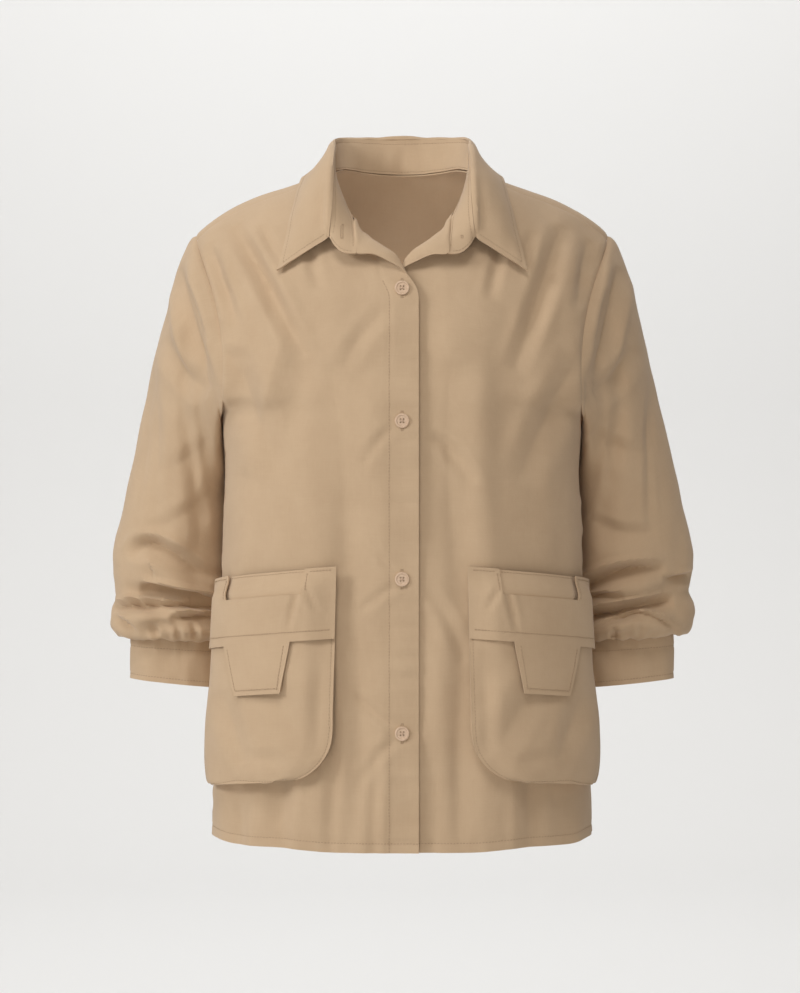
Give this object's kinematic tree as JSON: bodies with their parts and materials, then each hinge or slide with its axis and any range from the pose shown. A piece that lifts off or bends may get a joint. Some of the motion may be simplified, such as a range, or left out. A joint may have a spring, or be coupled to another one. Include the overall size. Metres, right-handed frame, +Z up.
{
  "type": "shirt jacket",
  "caption": "Hollow, filled-out cotton shirt jacket with an open collar, cuffed sleeves gathered at the wrist, a buttoned front and big bellows patch pockets with slits.",
  "frame": {"origin": "on the centre line between the shoulders, level with the side of the neck opening, where the wearer's neck and shoulders hold the garment", "axes": "+Z up, -Y the front, +X the wearer's left"},
  "size_m": [0.593, 0.2613, 0.7103],
  "materials": {
    "front": "matte",
    "back": "matte",
    "sleeve": "matte",
    "cuff": "matte",
    "collar": "matte",
    "pocket": "matte",
    "gusset": "matte",
    "button": "satin"
  },
  "bodies": {
    "root": {"back": "back", "collar_stand": "collar", "collar_leaf": "collar", "front_right": "front", "sleeve_right": "sleeve", "cuff_right": "cuff", "pocket_bag_right": "pocket", "pocket_flap_right": "pocket", "pocket_mouth_right": "pocket", "pocket_gusset_right": "gusset", "front_left": "front", "sleeve_left": "sleeve", "cuff_left": "cuff", "pocket_bag_left": "pocket", "pocket_flap_left": "pocket", "pocket_mouth_left": "pocket", "pocket_gusset_left": "gusset", "button_1": "button", "button_2": "button", "button_3": "button", "button_4": "button", "button_collar": "button"}
  },
  "joints": []
}
